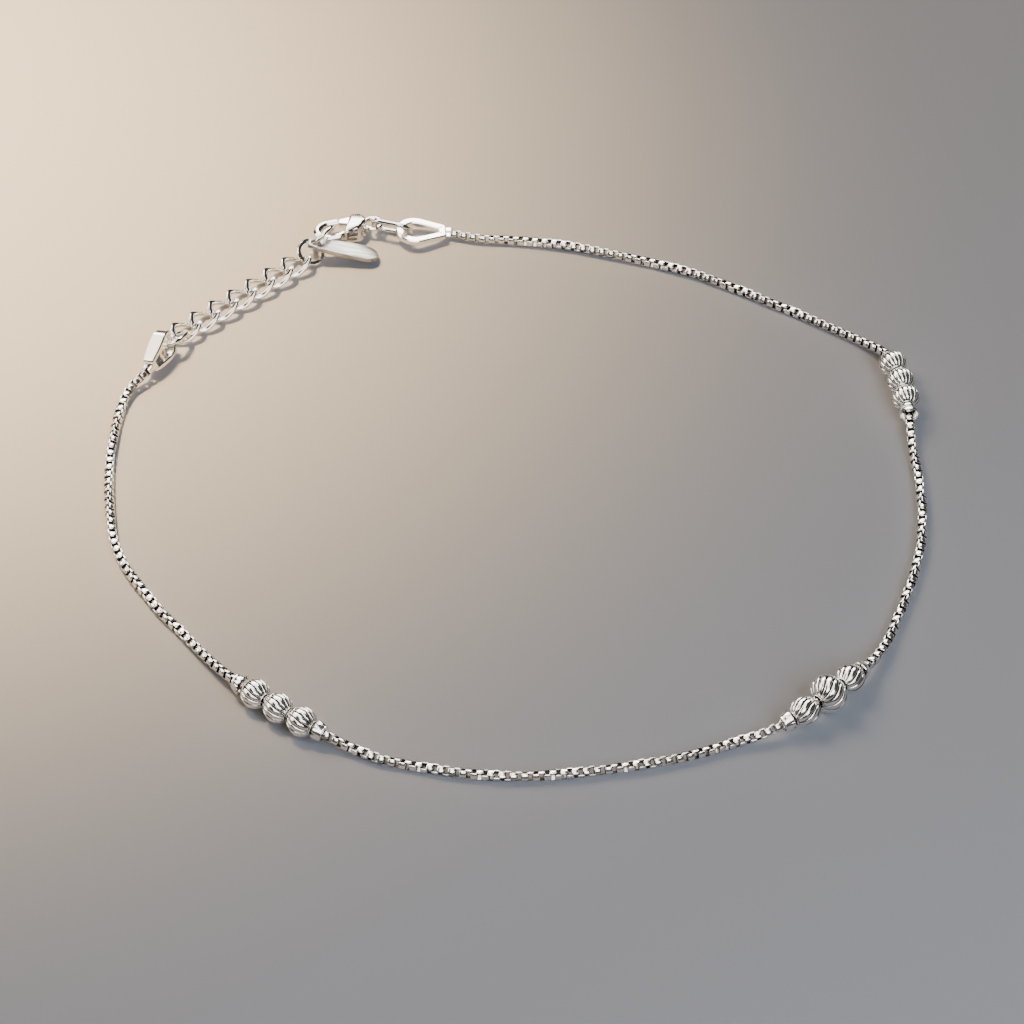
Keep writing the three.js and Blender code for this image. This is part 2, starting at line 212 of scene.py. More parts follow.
# Single links and rings: size, place, and turns about their own y, then x, then z.
RINGS = [
    ("extender_link_1", {"length": 4.1, "width": 3.1, "wire": 0.6},
     (-36.62, 21.31, 1.2), (27.4, 163, -106.7)),
    ("extender_end_link", {"length": 3.2, "width": 3.2, "wire": 0.5},
     (-22.41, 36.17, 1.05), (-18.8, 27.5, -87.4)),
    ("end_ring", {"length": 3.8, "width": 3.8, "wire": 0.56},
     (-21.16, 37.96, 1.66), (33.8, -53.6, -55.8)),
    ("clasp_link", {"length": 4.8, "width": 2.9, "wire": 0.6},
     (-13.53, 40.26, 1.25), (-60.4, -1.6, -18.6)),
]

# Tag
TAG = {"length": 7.1, "tip": 1.3, "root": 0.9, "hole": 0.5, "thickness": 0.5}
TAG_RIM = 0.12
TAG_DISH = 0.2
# Where the tag's blade starts, counted from the middle of its hole.
TAG_BLADE = 0.8
TAG_HOLE_AT = (-21.88, 36.44, 1.98)
TAG_END_AT = (-15.2, 36.2, 0.49)

# Clasp: x runs from the middle of its eyelet to the claw, the lever is at -y.
CLASP_AT = (-15.68, 41.02, 1.15)
CLASP_HEADING = 195.7
EYELET = {"radius": 1.15, "hole": 0.72, "thickness": 0.5, "chamfer": 0.14}
CLAW = {"centre": 4.88, "rx": 1.87, "ry": 1.62, "wall": 0.72, "thickness": 0.8,
        "chamfer": 0.24, "start": 2.1, "short_arm": 1.12, "shoulder": 3.2}
CHEEK_OUTER = 1.05
CHEEK_INNER = 0.5
CHEEK_ROUND = 0.3
CHEEK_CROWN = 0.06
# The body's outline: its lever side from the eyelet to the claw, and its spine side back.
LEVER_SIDE = [
    (0.75, -0.55), (0.9, -0.9), (1.2, -1.2), (1.7, -1.34), (2.2, -1.35), (2.45, -0.95),
    (2.65, -0.45), (3.0, 0.3),
]
SPINE_SIDE = [
    (3.3, 0.75), (3.55, 1.1), (3.6, 1.5), (3.4, 1.66), (2.6, 1.7), (1.9, 1.68),
    (1.45, 1.45), (1.1, 1.1), (0.85, 0.75), (0.75, 0.4),
]
# How far the top of the spine side leans back beside the eyelet, and how much the claw's
# arm thickens where it meets the body.
BODY_LEAN = 0.75
SHOULDER_RISE = 1.1
PIN_RADIUS = 0.2
PIVOT = (1.75, -0.45)
LEVER_REACH = 1.97
LEVER_THICKNESS = 0.8
LEVER_BORE = 0.3
LEVER_RIM = 0.07
LEVER_HUB = 0.5
PIN_SINK = 0.15


def rotation(degrees, axis):
    """A turn about a main axis."""
    return Matrix.Rotation(math.radians(degrees), 4, axis)


def aimed(along, up, at):
    """A placement whose x runs along one direction and whose z is as near up as it can be."""
    x = along.normalized()
    y = up.cross(x).normalized()
    z = x.cross(y)
    turn = Matrix((x, y, z)).transposed().to_4x4()
    return Matrix.Translation(Vector(at)) @ turn


# Shapes


def edge_loop(bm, points):
    """A closed loop of edges through a few points."""
    verts = [bm.verts.new(point) for point in points]
    pairs = zip(verts, verts[1:] + verts[:1])
    return verts + [bm.edges.new(pair) for pair in pairs]


def strip_section(at, thickness, width, chamfer):
    """Corners of a flat strip's section with its four edges taken off, square to +x."""
    half, side = thickness / 2, width / 2
    rows = [
        (-half, -side + chamfer), (-half + chamfer, -side),
        (half - chamfer, -side), (half, -side + chamfer),
        (half, side - chamfer), (half - chamfer, side),
        (-half + chamfer, side), (-half, side - chamfer),
    ]
    return [(at[0], at[1] + y, z) for y, z in rows]


def draw_round(bm, section, moves):
    """Draws a section along straight moves and round turns about upright axes."""
    last = section
    for move in moves:
        if move[0] == "turn":
            _, centre, angle, steps = move
            made = bmesh.ops.spin(
                bm, geom=last, cent=(*centre, 0), axis=(0, 0, 1), dvec=(0, 0, 0),
                angle=math.radians(angle), steps=steps, use_duplicate=False)
            last = made["geom_last"]
        else:
            _, way, steps = move
            for _ in range(steps):
                edges = [item for item in last if isinstance(item, bmesh.types.BMEdge)]
                last = bmesh.ops.extrude_edge_only(bm, edges=edges)["geom"]
                verts = [item for item in last if isinstance(item, bmesh.types.BMVert)]
                bmesh.ops.translate(bm, verts=verts, vec=Vector((*way, 0)) / steps)
                last = [item for item in last if not isinstance(item, bmesh.types.BMFace)]
    return last


def close_up(bm):
    """Joins corners that meet, and turns every face outward."""
    bmesh.ops.remove_doubles(bm, verts=bm.verts, dist=0.0005)
    bmesh.ops.recalc_face_normals(bm, faces=bm.faces)


def wire_link(size, twist=0, section_steps=20, turn_steps=18):
    """A link of wire with its sides cut flat: two half turns and two straights, twisted."""
    bm = bmesh.new()
    radius = (size["width"] - size["wire"]) / 2
    pull = (size["length"] - size["width"]) / 2
    made = bmesh.ops.create_circle(bm, segments=section_steps, radius=size["wire"] / 2)
    bmesh.ops.rotate(bm, verts=made["verts"], matrix=Matrix.Rotation(math.pi / 2, 3, "Y"))
    flat = size["wire"] * WIRE_FLAT / 2
    for vert in made["verts"]:
        vert.co.y *= WIRE_BROAD
        vert.co.z = max(-flat, min(flat, vert.co.z))
    bmesh.ops.translate(bm, verts=made["verts"], vec=(-pull, -radius, 0))
    sides = [("go", (2 * pull, 0), 4)] if pull else []
    back = [("go", (-2 * pull, 0), 4)] if pull else []
    moves = sides + [("turn", (pull, 0), 180, turn_steps)]
    moves += back + [("turn", (-pull, 0), 180, turn_steps)]
    draw_round(bm, bm.verts[:] + bm.edges[:], moves)
    close_up(bm)
    reach = radius + pull
    for vert in bm.verts:
        turn = math.radians(twist) * vert.co.x / reach
        vert.co = Matrix.Rotation(turn, 3, "X") @ vert.co
    return bm


def box_link():
    """A square ring of flat strip, its strip's width along z."""
    bm = bmesh.new()
    far, half = BOX_LENGTH / 2 - BOX_CORNER, BOX_SIDE / 2
    reach = half - BOX_CORNER
    outside, inside, side = -half, -half + BOX_STRIP, BOX_WIDTH / 2
    edge_loop(bm, [
        (-far, inside, -side), (-far, inside, side), (-far, outside + BOX_CHAMFER, side),
        (-far, outside, side - BOX_CHAMFER), (-far, outside, -side + BOX_CHAMFER),
        (-far, outside + BOX_CHAMFER, -side),
    ])
    moves = [
        ("go", (2 * far, 0), 1), ("turn", (far, -reach), 90, 2),
        ("go", (0, 2 * reach), 1), ("turn", (far, reach), 90, 2),
        ("go", (-2 * far, 0), 1), ("turn", (-far, reach), 90, 2),
        ("go", (0, -2 * reach), 1), ("turn", (-far, -reach), 90, 2),
    ]
    draw_round(bm, bm.verts[:] + bm.edges[:], moves)
    close_up(bm)
    return bm


def spun(points, steps):
    """A closed profile of (along, radius) points spun once round the x axis."""
    bm = bmesh.new()
    edge_loop(bm, [(along, 0, radius) for along, radius in points])
    bmesh.ops.spin(
        bm, geom=bm.verts[:] + bm.edges[:], cent=(0, 0, 0), axis=(1, 0, 0), dvec=(0, 0, 0),
        angle=2 * math.pi, steps=steps, use_merge=True, use_duplicate=False)
    close_up(bm)
    return bm


def fluted_bead(shape):
    """A round bead with narrow grooves cut from end to end, and a plain lip at each end."""
    half, top, bore = shape["length"] / 2, shape["width"] / 2, BEAD_BORE / 2
    lip = bore + BEAD_LIP
    start = half - BEAD_LIP_LENGTH
    rise = math.acos((lip - 0.02) / top)
    turn = BEAD_LIP_ROUND
    points = [(-half, bore), (-half, lip - turn), (-half + turn, lip), (-start - turn, lip)]
    for i in range(BEAD_ROWS + 1):
        angle = -rise + 2 * rise * i / BEAD_ROWS
        along = start * math.sin(angle) / math.sin(rise)
        points.append((along, top * math.cos(angle) - BALL_DROP))
    points += [(start + turn, lip), (half - turn, lip), (half, lip - turn), (half, bore)]
    bm = spun(points, shape["flutes"] * STEPS_PER_FLUTE)
    painted_shade = bm.verts.layers.float.new("painted_shade")
    own = bm.verts.layers.float_vector.new("own_place")
    for vert in bm.verts:
        x, y, z = vert.co
        radius, angle = math.hypot(y, z), math.atan2(z, y)
        vert[own] = vert.co
        on_ball = abs(x) < start - 0.02 and radius > bore + 0.02
        across = abs(math.sin(shape["flutes"] * angle / 2))
        inside = max(0.0, 1 - across / GROOVE_SHARE) if on_ball else 0.0
        fade = min(1, (start - abs(x)) / GROOVE_RUN_OUT) if on_ball else 0.0
        share = GROOVE_END_SHARE + (1 - GROOVE_END_SHARE) * fade
        crown = LAND_CROWN * (across - CROWN_LEVEL) * fade
        turned = angle + math.radians(shape["swirl"]) * x / half
        radius += crown - GROOVE_DEPTH * top * inside ** GROOVE_STEEPNESS * share
        vert.co = (x, radius * math.cos(turned), radius * math.sin(turned))
        # Painted shade, partly tarnish: the grooves are darkened in the colour, and a ring at
        # each lip where the beads meet is darkened as painted shade.
        vert[painted_shade] = min(1.0, TARNISH_AND_SHADE_SPREAD * inside)
        if abs(abs(x) - start) < 0.06 and radius > bore + 0.05:
            vert[painted_shade] = LIP_PAINTED_SHADE
    return bm


def end_cap(shape):
    """A short hollow cap, wide towards +x."""
    half, bore = shape["length"] / 2, BEAD_BORE / 2
    wide, narrow = shape["wide"] / 2, shape["narrow"] / 2
    points = [
        (-half, bore), (-half, narrow - 0.06), (-half + 0.05, narrow), (-half + 0.16, narrow),
        (-half + 0.22, narrow + 0.02), (0, (wide + narrow) / 2 + 0.02), (half - 0.2, wide - 0.01),
        (half - 0.06, wide), (half, wide - 0.05), (half, wide - 0.18),
    ]
    if shape["hollow"]:
        points += [(half - 0.25, wide - 0.22), (-half + 0.4, bore + 0.1), (-half + 0.3, bore)]
    else:
        points.append((half, bore))
    bm = spun(points, CAP_STEPS)
    own = bm.verts.layers.float_vector.new("own_place")
    painted_shade = bm.verts.layers.float.new("painted_shade")
    for vert in bm.verts:
        vert[own] = vert.co
        x, y, z = vert.co
        radius, angle = math.hypot(y, z), math.atan2(z, y)
        share = (x + half) / (2 * half)
        inner_wall = min(wide - 0.15, narrow + (wide - narrow) * share - 0.05)
        # Painted shade: the notches between the scallops, and the inside of a hollow cap, are
        # darkened in the colour.
        if shape["scallops"] and radius > bore + 0.05:
            notch = (0.5 - 0.5 * math.cos(shape["scallops"] * angle)) ** 4
            towards = max(0.0, 0.35 + x / half)
            vert.co.x -= SCALLOP_DEPTH * notch * max(0.0, x / half)
            shrink = 1 - SCALLOP_DEPTH * notch * min(1, towards)
            vert.co.y, vert.co.z = y * shrink, z * shrink
            vert[painted_shade] = notch * min(1, towards)
        elif shape["hollow"] and x > -half + 0.1 and radius < inner_wall:
            vert[painted_shade] = BELL_PAINTED_SHADE
    return bm


def teardrop_band(row):
    """A closed band on edge: a round broad end and a short flat side, drawn in one strip."""
    bm = bmesh.new()
    t = row["thickness"]
    big = (row["length"] - row["broad"] / 2, row["broad"] / 2)
    small = (CONNECTOR_CORNER, row["narrow"] / 2 - CONNECTOR_CORNER)
    dx, dy = big[0] - small[0], -small[1]
    lean = math.degrees(
        math.atan2(dy, dx) + math.acos((CONNECTOR_CORNER - big[1]) / math.hypot(dx, dy)))
    rows = strip_section((0, 0), t, row["middle"], CONNECTOR_CHAMFER)
    section = edge_loop(bm, rows)
    verts = section[:len(rows)]
    bmesh.ops.rotate(bm, verts=verts, matrix=Matrix.Rotation(-math.pi / 2, 3, "Z"))
    bmesh.ops.translate(bm, verts=verts, vec=(t / 2, small[1], 0))
    start = (math.cos(math.radians(lean)), math.sin(math.radians(lean)))
    leg_from = (small[0] + CONNECTOR_CORNER * start[0], -small[1] - CONNECTOR_CORNER * start[1])
    leg_to = (big[0] + big[1] * start[0], -big[1] * start[1])
    leg = (leg_to[0] - leg_from[0], leg_to[1] - leg_from[1])
    moves = [
        ("go", (0, -2 * small[1]), 2),
        ("turn", (small[0], -small[1]), 180 - lean, 5),
        ("go", leg, 5),
        ("turn", (big[0], 0), 2 * lean, 18),
        ("go", (-leg[0], leg[1]), 5),
        ("turn", small, 180 - lean, 5),
    ]
    draw_round(bm, section, moves)
    close_up(bm)
    for vert in bm.verts:
        along = min(1, max(0, vert.co.x / row["length"]))
        bulge = 1 - (2 * (along - BROADEST_AT)) ** 2
        wanted = row["end"] + (row["middle"] - row["end"]) * max(0, bulge)
        vert.co.z *= wanted / row["middle"]
    return bm


def add_mesh(bm, other, matrix=None):
    """Adds another shape to this one, and frees it."""
    if matrix is not None:
        bmesh.ops.transform(other, matrix=matrix, verts=other.verts)
    holder = bpy.data.meshes.new("holder")
    other.to_mesh(holder)
    other.free()
    bm.from_mesh(holder)
    bpy.data.meshes.remove(holder)


def connector(row):
    """A teardrop band with the chain's square end link let into its narrow side."""
    bm = teardrop_band(row)
    ring = bmesh.new()
    half = SOLDER_LINK / 2 - SOLDER_STRIP / 2
    rows = strip_section((0, -half), SOLDER_STRIP, SOLDER_WIDTH, SOLDER_CHAMFER)
    section = edge_loop(ring, rows)
    reach = half - SOLDER_CORNER
    moves = [("go", (reach, 0), 1)]
    moves.append(("turn", (reach, -reach), 90, 3))
    for x, y, way in ((1, 1, (0, 2)), (-1, 1, (-2, 0)), (-1, -1, (0, -2))):
        moves.append(("go", (way[0] * reach, way[1] * reach), 1))
        moves.append(("turn", (x * reach, y * reach), 90, 3))
    moves.append(("go", (reach, 0), 1))
    draw_round(ring, section, moves)
    close_up(ring)
    put = Matrix.Translation((-SOLDER_LINK / 2 + SOLDER_SINK, 0, 0)) @ rotation(90, "X")
    add_mesh(bm, ring, put)
    return bm


def plate(points, thickness, bevel, segments=2, hole=None, hole_steps=20, top_only=False):
    """A flat outline made a plate centred on its own plane, with its rims rounded."""
    bm = bmesh.new()
    outer = edge_loop(bm, [(x, y, -thickness / 2) for x, y in points])
    edges = [item for item in outer if isinstance(item, bmesh.types.BMEdge)]
    if hole:
        (hx, hy), radius = hole
        made = bmesh.ops.create_circle(bm, segments=hole_steps, radius=radius)
        bmesh.ops.translate(bm, verts=made["verts"], vec=(hx, hy, -thickness / 2))
        inner = {edge for vert in made["verts"] for edge in vert.link_edges}
        edges += list(inner)
        bmesh.ops.triangle_fill(bm, edges=edges, use_beauty=True, use_dissolve=True)
    else:
        bmesh.ops.edgeloop_fill(bm, edges=edges)
    made = bmesh.ops.extrude_face_region(bm, geom=bm.faces[:], use_keep_orig=True)
    verts = [item for item in made["geom"] if isinstance(item, bmesh.types.BMVert)]
    bmesh.ops.translate(bm, verts=verts, vec=(0, 0, thickness))
    bmesh.ops.recalc_face_normals(bm, faces=bm.faces)
    if bevel:
        rims = [edge for edge in bm.edges if len(edge.link_faces) == 2
                and edge.calc_face_angle() > math.radians(60)
                and abs(edge.verts[0].co.z - edge.verts[1].co.z) < 1e-6
                and (edge.verts[0].co.z > 0 or not top_only)]
        bmesh.ops.bevel(
            bm, geom=rims, offset=bevel, offset_type="OFFSET", affect="EDGES",
            segments=segments, profile=0.5, material=-1, clamp_overlap=True)
    return bm


def arc(centre, radius, start, stop, steps):
    """Points of an arc from one direction in degrees to another; radius may be (rx, ry)."""
    rx, ry = radius if isinstance(radius, tuple) else (radius, radius)
    turns = [math.radians(start + (stop - start) * i / steps) for i in range(steps + 1)]
    return [(centre[0] + rx * math.cos(t), centre[1] + ry * math.sin(t)) for t in turns]


def cut_across(bm, places, normal):
    """Cuts the shape's faces along several parallel planes."""
    for place in places:
        bmesh.ops.bisect_plane(
            bm, geom=bm.verts[:] + bm.edges[:] + bm.faces[:], dist=1e-6,
            plane_co=Vector(normal) * place, plane_no=normal)


def tag_shape():
    """A flat paddle with a rounded rim, a little dished so that its top isn't quite plain."""
    tip, root, length = TAG["tip"], TAG["root"], TAG["length"]
    points = [(-root + 0.1, -root * 0.6), (0.5, -root)]
    points += arc((length - tip, 0), tip, -90, 90, 24)
    points += [(0.5, root), (-root + 0.1, root * 0.6)]
    bm = plate(points, TAG["thickness"], TAG_RIM, 4, ((0, 0), TAG["hole"]), 24)
    cut_across(bm, [TAG_BLADE + 0.35 * i for i in range(17)], (1, 0, 0))
    cut_across(bm, [-0.8, -0.4, 0, 0.4, 0.8], (0, 1, 0))
    for vert in bm.verts:
        along = max(0.0, vert.co.x - TAG_BLADE) / length
        across = vert.co.y / tip
        vert.co.z += TAG_DISH * (math.sin(math.pi * (along + 0.25 * across)) * along * 2 - along)
    bmesh.ops.recalc_face_normals(bm, faces=bm.faces)
    return bm


def claw_shape():
    """The claw's hook, drawn from its spine round its end to its tip."""
    bm = bmesh.new()
    middle = CLAW["ry"] - CLAW["wall"] / 2
    rows = strip_section(
        (CLAW["start"], middle), CLAW["wall"], CLAW["thickness"], CLAW["chamfer"])
    section = edge_loop(bm, rows)
    bmesh.ops.edgeloop_fill(bm, edges=[e for e in section if isinstance(e, bmesh.types.BMEdge)])
    moves = [
        ("go", (CLAW["centre"] - CLAW["start"], 0), 8),
        ("turn", (CLAW["centre"], 0), -180, 28),
        ("go", (-CLAW["short_arm"], 0), 3),
    ]
    last = draw_round(bm, section, moves)
    edges = [item for item in last if isinstance(item, bmesh.types.BMEdge)]
    bmesh.ops.edgeloop_fill(bm, edges=edges)
    close_up(bm)
    stretch = CLAW["rx"] / CLAW["ry"]
    for vert in bm.verts:
        over = vert.co.x - CLAW["centre"]
        if over > 0:
            vert.co.x = CLAW["centre"] + over * stretch
        else:
            rise = min(1, -over / (CLAW["centre"] - CLAW["shoulder"])) if vert.co.y > 0 else 0
            vert.co.z *= 1 + SHOULDER_RISE * rise ** 2
    return bm


def cheek_shape(side):
    """The upper or lower side of the clasp's body, rounded at its outer rim."""
    outline = LEVER_SIDE + SPINE_SIDE
    bm = plate(outline, CHEEK_OUTER - CHEEK_INNER, CHEEK_ROUND, 6, top_only=True)
    cut_across(bm, [1.0 + 0.3 * i for i in range(9)], (1, 0, 0))
    cut_across(bm, [-1.2 + 0.3 * i for i in range(10)], (0, 1, 0))
    for vert in bm.verts:
        if vert.co.z > 0:
            vert.co.z -= CHEEK_CROWN * ((vert.co.x - 2.1) ** 2 + (vert.co.y - 0.2) ** 2)
    bmesh.ops.translate(bm, verts=bm.verts, vec=(0, 0, (CHEEK_OUTER + CHEEK_INNER) / 2))
    bmesh.ops.scale(bm, verts=bm.verts, vec=(1, 1, side))
    bmesh.ops.recalc_face_normals(bm, faces=bm.faces)
    return bm


def lean_back(bm):
    """Leans the top of the body's spine side back, more and more towards the eyelet."""
    for vert in bm.verts:
        x, y, z = vert.co
        towards = min(1, max(0, (3.4 - x) / 2.2))
        outward = min(1, max(0, (y + 0.2) / 1.2))
        vert.co.y -= BODY_LEAN * towards * outward * max(0, z + 0.4) / (CHEEK_OUTER + 0.4)


def clasp_body_shape():
    """Two cheeks with the lever's slot between them, a spine, the claw and the eyelet."""
    bm = bmesh.new()
    add_mesh(bm, cheek_shape(1))
    add_mesh(bm, cheek_shape(-1))
    spine = [(1.3, 0.3), (3.0, 0.3), *SPINE_SIDE, (0.75, -0.4), (1.12, -0.5), (1.12, 0)]
    add_mesh(bm, plate(spine, 2 * CHEEK_INNER, 0))
    lean_back(bm)
    add_mesh(bm, claw_shape())
    pin = bmesh.new()
    bmesh.ops.create_cone(
        pin, cap_ends=True, segments=24, radius1=PIN_RADIUS, radius2=PIN_RADIUS,
        depth=2 * (CHEEK_INNER + PIN_SINK))
    add_mesh(bm, pin, Matrix.Translation((*PIVOT, 0)))
    add_mesh(bm, eyelet_shape())
    return bm


def eyelet_shape():
    """The clasp's round eyelet, a ring of flat strip with its edges taken off."""
    middle = (EYELET["radius"] + EYELET["hole"]) / 2
    wall = EYELET["radius"] - EYELET["hole"]
    bm = bmesh.new()
    rows = strip_section((0, -middle), wall, EYELET["thickness"], EYELET["chamfer"])
    section = edge_loop(bm, rows)
    draw_round(bm, section, [("turn", (0, 0), 360, 36)])
    close_up(bm)
    return bm


def lever_shape():
    """The lever: a tip that meets the claw, a hub on the pin, and a thumb piece at -y."""
    px, py = PIVOT
    points = arc((px, py), LEVER_REACH, -27, -9, 4)
    points += [(px + 0.45, py + 0.35)]
    points += arc((px, py), LEVER_HUB, 60, 190, 8)
    points += [(1.28, -1.55), (1.6, -1.75), (2.15, -1.45)]
    return plate(points, LEVER_THICKNESS, LEVER_RIM, 2, ((px, py), LEVER_BORE), 20)


# Chain


class Route:
    """The chain's smooth way through its points, measured along its length."""

    def __init__(self, points, samples=60):
        rows = [Vector(point) for point in points]
        rows = [2 * rows[0] - rows[1], *rows, 2 * rows[-1] - rows[-2]]
        self.places = []
        for i in range(1, len(rows) - 2):
            steps = samples + (i == len(rows) - 3)
            self.places += [self.between(rows[i - 1:i + 3], k / samples) for k in range(steps)]
        self.lengths = [0.0]
        for a, b in zip(self.places, self.places[1:]):
            self.lengths.append(self.lengths[-1] + (b - a).length)

    @staticmethod
    def between(rows, t):
        """Centripetal spline through four points, from the second to the third."""
        knots = [0.0]
        for a, b in zip(rows, rows[1:]):
            knots.append(knots[-1] + (b - a).length ** 0.5)
        at = knots[1] + (knots[2] - knots[1]) * t

        def mixed(a, b, low, high):
            return a.lerp(b, (at - knots[low]) / (knots[high] - knots[low]))

        first = [mixed(rows[i], rows[i + 1], i, i + 1) for i in range(3)]
        second = [mixed(first[i], first[i + 1], i, i + 2) for i in range(2)]
        return mixed(*second, 1, 2)

    def at(self, distance):
        """Place and direction this far along. Past an end the way goes straight on."""
        low, high = 0, len(self.lengths) - 1
        while high - low > 1:
            mid = (low + high) // 2
            low, high = (mid, high) if self.lengths[mid] <= distance else (low, mid)
        step = self.lengths[high] - self.lengths[low]
        way = self.places[high] - self.places[low]
        share = (distance - self.lengths[low]) / step
        return self.places[low] + way * share, way.normalized()


ROUTE = Route(CHAIN_ROUTE)


def turn_to_camera(distance):
    """The turn about the chain, in degrees, that brings its upper side round to the camera."""
    place, way = ROUTE.at(distance)
    sight = Vector(CAMERA_AT) - place
    upward = way.cross(UP.cross(way).normalized())
    return math.degrees(math.atan2(sight @ way.cross(upward), sight @ upward))


TWIST = [(place, turn_to_camera(place) + 90 * i) for i, place in enumerate(FLAT_SIDES)]


def twist_at(distance):
    """How far the chain is turned about itself this far along, in degrees."""
    for (a, turn_a), (b, turn_b) in zip(TWIST, TWIST[1:]):
        if distance <= b:
            return turn_a + (turn_b - turn_a) * (distance - a) / (b - a)
    return TWIST[-1][1]


def chain_links(first, last):
    """The box links from one number to another, joined in one shape."""
    link = box_link()
    own = link.verts.layers.float_vector.new("own_place")
    painted_shade = link.verts.layers.float.new("painted_shade")
    for vert in link.verts:
        vert[own] = vert.co
        # Painted shade: all but the outer faces of the long sides are darkened, for the dark
        # slots inside the chain.
        on_rail = abs(vert.co.y) > BOX_SIDE / 2 - BOX_STRIP / 2
        vert[painted_shade] = 0.0 if on_rail else 1.0
    pattern = bpy.data.meshes.new("pattern")
    link.to_mesh(pattern)
    link.free()
    bm = bmesh.new()
    for number in range(first, last):
        place, way = ROUTE.at(BOX_FIRST + number * BOX_PITCH)
        turn = twist_at(BOX_FIRST + number * BOX_PITCH) + 90 * (number % 2)
        before = len(bm.verts)
        bm.from_mesh(pattern)
        bm.verts.ensure_lookup_table()
        bmesh.ops.transform(
            bm, matrix=aimed(way, UP, place) @ rotation(turn, "X"), verts=bm.verts[before:])
    bpy.data.meshes.remove(pattern)
    return bm


# Materials


def node_group(name, inputs, outputs):
    """A shader node group with named inputs and outputs, each (name, kind, default)."""
    group = bpy.data.node_groups.new(name, "ShaderNodeTree")
    for label, kind, default in inputs:
        socket = group.interface.new_socket(label, in_out="INPUT", socket_type=kind)
        socket.default_value = default
    for label, kind in outputs:
        group.interface.new_socket(label, in_out="OUTPUT", socket_type=kind)
    start = group.nodes.new("NodeGroupInput")
    end = group.nodes.new("NodeGroupOutput")
    return group, start, end


FLOAT, COLOR, VECTOR = "NodeSocketFloat", "NodeSocketColor", "NodeSocketVector"
# How deep the relief of the marks is, and which grain tones make the dark streaks.
RELIEF_DEPTH = 0.05 * MM
STREAK_TONES = (0.32, 0.68)


def math_node(nodes, operation, value=None):
    node = nodes.new("ShaderNodeMath")
    node.operation = operation
    if value is not None:
        node.inputs[1].default_value = value
    return node


def surface_marks():
    """Fine handling marks: a roughness that changes a little, and faint scratches."""
    group, start, end = node_group(
        "surface_marks",
        [("Place", VECTOR, (0, 0, 0)), ("Scale", FLOAT, 3.0), ("Roughness", FLOAT, 0.15),
         ("Change", FLOAT, 0.1)],
        [("Roughness", FLOAT), ("Height", FLOAT)])
    nodes, links = group.nodes, group.links
    cloud = nodes.new("ShaderNodeTexNoise")
    cloud.inputs["Detail"].default_value = 4
    links.new(start.outputs["Place"], cloud.inputs["Vector"])
    links.new(start.outputs["Scale"], cloud.inputs["Scale"])
    centred = math_node(nodes, "SUBTRACT", 0.5)
    links.new(cloud.outputs["Fac"], centred.inputs[0])
    scaled = math_node(nodes, "MULTIPLY")
    links.new(centred.outputs[0], scaled.inputs[0])
    links.new(start.outputs["Change"], scaled.inputs[1])
    total = math_node(nodes, "ADD")
    total.use_clamp = True
    links.new(scaled.outputs[0], total.inputs[0])
    links.new(start.outputs["Roughness"], total.inputs[1])
    links.new(total.outputs[0], end.inputs["Roughness"])
    stretch = nodes.new("ShaderNodeVectorMath")
    stretch.operation = "MULTIPLY"
    stretch.inputs[1].default_value = (1, 9, 5)
    links.new(start.outputs["Place"], stretch.inputs[0])
    scratch = nodes.new("ShaderNodeTexNoise")
    scratch.inputs["Detail"].default_value = 2
    links.new(stretch.outputs[0], scratch.inputs["Vector"])
    links.new(start.outputs["Scale"], scratch.inputs["Scale"])
    links.new(scratch.outputs["Fac"], end.inputs["Height"])
    return group


def brushed_grain():
    """Satin grain that runs along x of the piece's own place."""
    group, start, end = node_group(
        "brushed_grain",
        [("Place", VECTOR, (0, 0, 0)), ("Across", FLOAT, 30.0), ("Along", FLOAT, 1.2)],
        [("Height", FLOAT), ("Tone", FLOAT)])
    nodes, links = group.nodes, group.links
    join = nodes.new("ShaderNodeCombineXYZ")
    links.new(start.outputs["Along"], join.inputs["X"])
    links.new(start.outputs["Across"], join.inputs["Y"])
    links.new(start.outputs["Across"], join.inputs["Z"])
    stretch = nodes.new("ShaderNodeVectorMath")
    stretch.operation = "MULTIPLY"
    links.new(start.outputs["Place"], stretch.inputs[0])
    links.new(join.outputs[0], stretch.inputs[1])
    grain = nodes.new("ShaderNodeTexNoise")
    grain.inputs["Scale"].default_value = 1
    grain.inputs["Detail"].default_value = 3
    links.new(stretch.outputs[0], grain.inputs["Vector"])
    links.new(grain.outputs["Fac"], end.inputs["Height"])
    links.new(grain.outputs["Fac"], end.inputs["Tone"])
    return group


def darken_for_shade_and_streaks():
    """Silver that darkens where the painted shade value, or a streak's tone, is high."""
    group, start, end = node_group(
        "darken_for_shade_and_streaks",
        [("Darkness", FLOAT, 0.0), ("Main Color", COLOR, (0.9, 0.9, 0.9, 1)),
         ("Dark", COLOR, (0.1, 0.1, 0.1, 1)), ("Low", FLOAT, 0.3), ("High", FLOAT, 0.9)],
        [("Color", COLOR)])
    nodes, links = group.nodes, group.links
    ramp = nodes.new("ShaderNodeMapRange")
    ramp.interpolation_type = "SMOOTHSTEP"
    links.new(start.outputs["Darkness"], ramp.inputs["Value"])
    links.new(start.outputs["Low"], ramp.inputs["From Min"])
    links.new(start.outputs["High"], ramp.inputs["From Max"])
    mix = nodes.new("ShaderNodeMix")
    mix.data_type = "RGBA"
    links.new(ramp.outputs["Result"], mix.inputs["Factor"])
    links.new(start.outputs["Main Color"], mix.inputs["A"])
    links.new(start.outputs["Dark"], mix.inputs["B"])
    links.new(mix.outputs["Result"], end.inputs["Color"])
    return group


GROUPS = {"marks": surface_marks(), "grain": brushed_grain(), "darkening": darken_for_shade_and_streaks()}


def attribute(nodes, name):
    node = nodes.new("ShaderNodeAttribute")
    node.attribute_name = name
    return node


def group_node(nodes, kind):
    node = nodes.new("ShaderNodeGroup")
    node.node_tree = GROUPS[kind]
    return node


